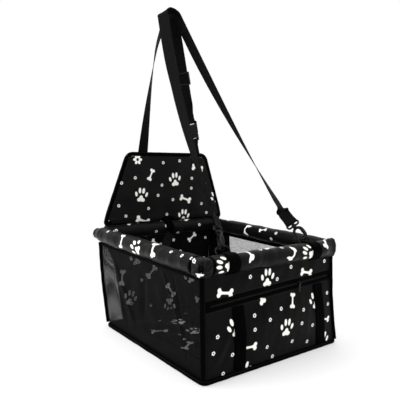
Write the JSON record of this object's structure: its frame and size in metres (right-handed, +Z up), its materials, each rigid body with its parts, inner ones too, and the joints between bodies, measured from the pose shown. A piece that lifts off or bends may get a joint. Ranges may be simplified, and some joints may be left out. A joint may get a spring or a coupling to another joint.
{
  "type": "dog car seat",
  "caption": "Open soft-sided dog car seat with mesh sides, a padded tube rim, a zipped front pocket, a fold-down back flap and hanging strap loops.",
  "frame": {"origin": "centre of the box's underside, on the seat it stands on", "axes": "+X to the seat's right, -Y its front with the zipped pocket, +Z up"},
  "size_m": [0.4335, 0.4796, 0.8344],
  "materials": {
    "base_binding": "black binding tape",
    "base_board": "grey stiffener sheet",
    "base_panel": "black coated cloth with a cream paw and bone print",
    "buckle_female": "black moulded plastic",
    "buckle_male": "black moulded plastic",
    "corner_binding_front_left": "black binding tape",
    "corner_binding_front_right": "black binding tape",
    "corner_binding_rear_left": "black binding tape",
    "corner_binding_rear_right": "black binding tape",
    "d_ring_left": "black coated metal",
    "d_ring_right": "black coated metal",
    "flap_back_panel": "black coated cloth with a cream paw and bone print",
    "flap_binding": "black binding tape",
    "flap_board": "grey stiffener sheet",
    "flap_front_panel": "black coated cloth with a cream paw and bone print",
    "flap_strap": "black woven webbing",
    "flap_strap_stub": "black woven webbing",
    "floor_mat": "black coated cloth with a cream paw and bone print",
    "front_left_corner_gather": "black coated cloth with a cream paw and bone print",
    "front_wall_lining": "black coated cloth with a cream paw and bone print",
    "front_wall_upper": "black coated cloth with a cream paw and bone print",
    "hook_gate_left": "black coated metal",
    "hook_gate_right": "black coated metal",
    "hook_strap": "black woven webbing",
    "leash_eye": "black moulded plastic",
    "leash_gate": "black coated metal",
    "leash_hook": "black coated metal",
    "leash_loop": "black woven webbing",
    "leash_strap": "black woven webbing",
    "left_mesh_top_binding": "black binding tape",
    "left_mesh_wall": "black open mesh",
    "pocket_band_left": "black woven webbing",
    "pocket_band_right": "black woven webbing",
    "pocket_panel": "black coated cloth with a cream paw and bone print",
    "rear_left_mesh_gusset": "black open mesh",
    "rear_left_seam_piping": "black binding tape",
    "rear_right_mesh_gusset": "black open mesh",
    "rear_right_seam_piping": "black binding tape",
    "rear_wall": "black coated cloth with a cream paw and bone print",
    "right_mesh_top_binding": "black binding tape",
    "right_mesh_wall": "black open mesh",
    "rim_band_left": "black woven webbing",
    "rim_band_right": "black woven webbing",
    "rim_sleeve_front": "black coated cloth with a cream paw and bone print",
    "rim_sleeve_left": "black coated cloth with a cream paw and bone print",
    "rim_sleeve_rear": "black coated cloth with a cream paw and bone print",
    "rim_sleeve_right": "black coated cloth with a cream paw and bone print",
    "rim_tube_front": "white extruded plastic",
    "rim_tube_left": "white extruded plastic",
    "rim_tube_rear": "white extruded plastic",
    "rim_tube_right": "white extruded plastic",
    "snap_hook_left": "black coated metal",
    "snap_hook_right": "black coated metal",
    "strap_glide": "black moulded plastic",
    "swivel_eye_left": "black moulded plastic",
    "swivel_eye_right": "black moulded plastic",
    "zip_pull": "black coated metal",
    "zip_slider": "black coated metal",
    "zip_tapes": "black binding tape",
    "zip_teeth": "black moulded plastic"
  },
  "bodies": {
    "box": {"base_binding": "base_binding", "base_board": "base_board", "base_panel": "base_panel", "corner_binding_front_left": "corner_binding_front_left", "corner_binding_front_right": "corner_binding_front_right", "corner_binding_rear_left": "corner_binding_rear_left", "corner_binding_rear_right": "corner_binding_rear_right", "floor_mat": "floor_mat", "front_left_corner_gather": "front_left_corner_gather", "front_wall_lining": "front_wall_lining", "front_wall_upper": "front_wall_upper", "leash_eye": "leash_eye", "leash_hook": "leash_hook", "leash_loop": "leash_loop", "leash_strap": "leash_strap", "left_mesh_top_binding": "left_mesh_top_binding", "left_mesh_wall": "left_mesh_wall", "pocket_band_left": "pocket_band_left", "pocket_band_right": "pocket_band_right", "pocket_panel": "pocket_panel", "rear_left_mesh_gusset": "rear_left_mesh_gusset", "rear_left_seam_piping": "rear_left_seam_piping", "rear_right_mesh_gusset": "rear_right_mesh_gusset", "rear_right_seam_piping": "rear_right_seam_piping", "rear_wall": "rear_wall", "right_mesh_top_binding": "right_mesh_top_binding", "right_mesh_wall": "right_mesh_wall", "rim_band_left": "rim_band_left", "rim_band_right": "rim_band_right", "rim_sleeve_front": "rim_sleeve_front", "rim_sleeve_left": "rim_sleeve_left", "rim_sleeve_rear": "rim_sleeve_rear", "rim_sleeve_right": "rim_sleeve_right", "rim_tube_front": "rim_tube_front", "rim_tube_left": "rim_tube_left", "rim_tube_rear": "rim_tube_rear", "rim_tube_right": "rim_tube_right", "zip_tapes": "zip_tapes", "zip_teeth": "zip_teeth"},
    "flap": {"flap_binding": "flap_binding", "flap_board": "flap_board", "flap_front_panel": "flap_front_panel", "flap_back_panel": "flap_back_panel"},
    "flap_strap_assembly": {"flap_strap": "flap_strap", "buckle_female": "buckle_female"},
    "buckle_plug": {"buckle_male": "buckle_male", "flap_strap_stub": "flap_strap_stub"},
    "adjuster": {"strap_glide": "strap_glide"},
    "hook_strap_assembly": {"hook_strap": "hook_strap", "swivel_eye_left": "swivel_eye_left", "swivel_eye_right": "swivel_eye_right", "d_ring_left": "d_ring_left", "d_ring_right": "d_ring_right"},
    "left_hook": {"snap_hook_left": "snap_hook_left"},
    "right_hook": {"snap_hook_right": "snap_hook_right"},
    "left_gate": {"hook_gate_left": "hook_gate_left"},
    "right_gate": {"hook_gate_right": "hook_gate_right"},
    "slider": {"zip_slider": "zip_slider"},
    "pull": {"zip_pull": "zip_pull"},
    "leash_hook_gate": {"leash_gate": "leash_gate"}
  },
  "joints": [
    {"name": "backrest_fold", "type": "hinge", "parent": "box", "child": "flap", "pos_m": [0, 0.238, 0.2606], "axis": [1, 0, 0], "range_deg": [0, 84]},
    {"name": "flap_strap_fold", "type": "hinge", "parent": "flap", "child": "flap_strap_assembly", "pos_m": [0, 0.24295, 0.442], "axis": [1, 0, 0], "range_deg": [-168, 0]},
    {"name": "buckle_release", "type": "slide", "parent": "flap_strap_assembly", "child": "buckle_plug", "axis": [0.2727, 0.0653, -0.9599], "range_m": [0, 0.0205], "deforming": ["flap_strap_stub"]},
    {"name": "adjuster_slide", "type": "slide", "parent": "flap_strap_assembly", "child": "adjuster", "axis": [-0.2727, -0.0653, 0.9599], "range_m": [-0.03, 0.03]},
    {"name": "hook_strap_swing", "type": "hinge", "parent": "box", "child": "hook_strap_assembly", "pos_m": [0, -0.18358, 0.25091], "axis": [1, 0, 0], "range_deg": [0, 58]},
    {"name": "left_hook_swivel", "type": "hinge", "parent": "hook_strap_assembly", "child": "left_hook", "pos_m": [-0.144, -0.17483, 0.26549], "axis": [0.1564, 0.5087, 0.8466], "range_deg": [-30, 40]},
    {"name": "right_hook_swivel", "type": "hinge", "parent": "hook_strap_assembly", "child": "right_hook", "pos_m": [0.099, -0.17266, 0.26394], "axis": [-0.2924, 0.6147, 0.7326], "range_deg": [-60, 5]},
    {"name": "left_gate_open", "type": "hinge", "parent": "left_hook", "child": "left_gate", "pos_m": [-0.13774, -0.1547, 0.28117], "axis": [-0.954, 0.2997, -0.0038], "range_deg": [0, 24], "stiffness_Nm_per_rad": 0.02},
    {"name": "right_gate_open", "type": "hinge", "parent": "right_hook", "child": "right_gate", "pos_m": [0.08663, -0.15266, 0.27566], "axis": [-0.7834, -0.5933, 0.1852], "range_deg": [0, 24], "stiffness_Nm_per_rad": 0.02},
    {"name": "zip_slide", "type": "slide", "parent": "box", "child": "slider", "axis": [0.999, 0, 0.0447], "range_m": [-0.2425, 0.0915]},
    {"name": "pull_swing", "type": "hinge", "parent": "slider", "child": "pull", "pos_m": [0.05994, -0.205, 0.16708], "axis": [-1, 0, 0], "range_deg": [0, 165]},
    {"name": "leash_gate_open", "type": "hinge", "parent": "box", "child": "leash_hook_gate", "pos_m": [0.11394, 0.00431, 0.02101], "axis": [0, 0, 1], "range_deg": [0, 24], "stiffness_Nm_per_rad": 0.02}
  ],
  "couplings": [
    {"joint": "flap_strap_fold", "follows": "backrest_fold", "ratio": -2}
  ]
}
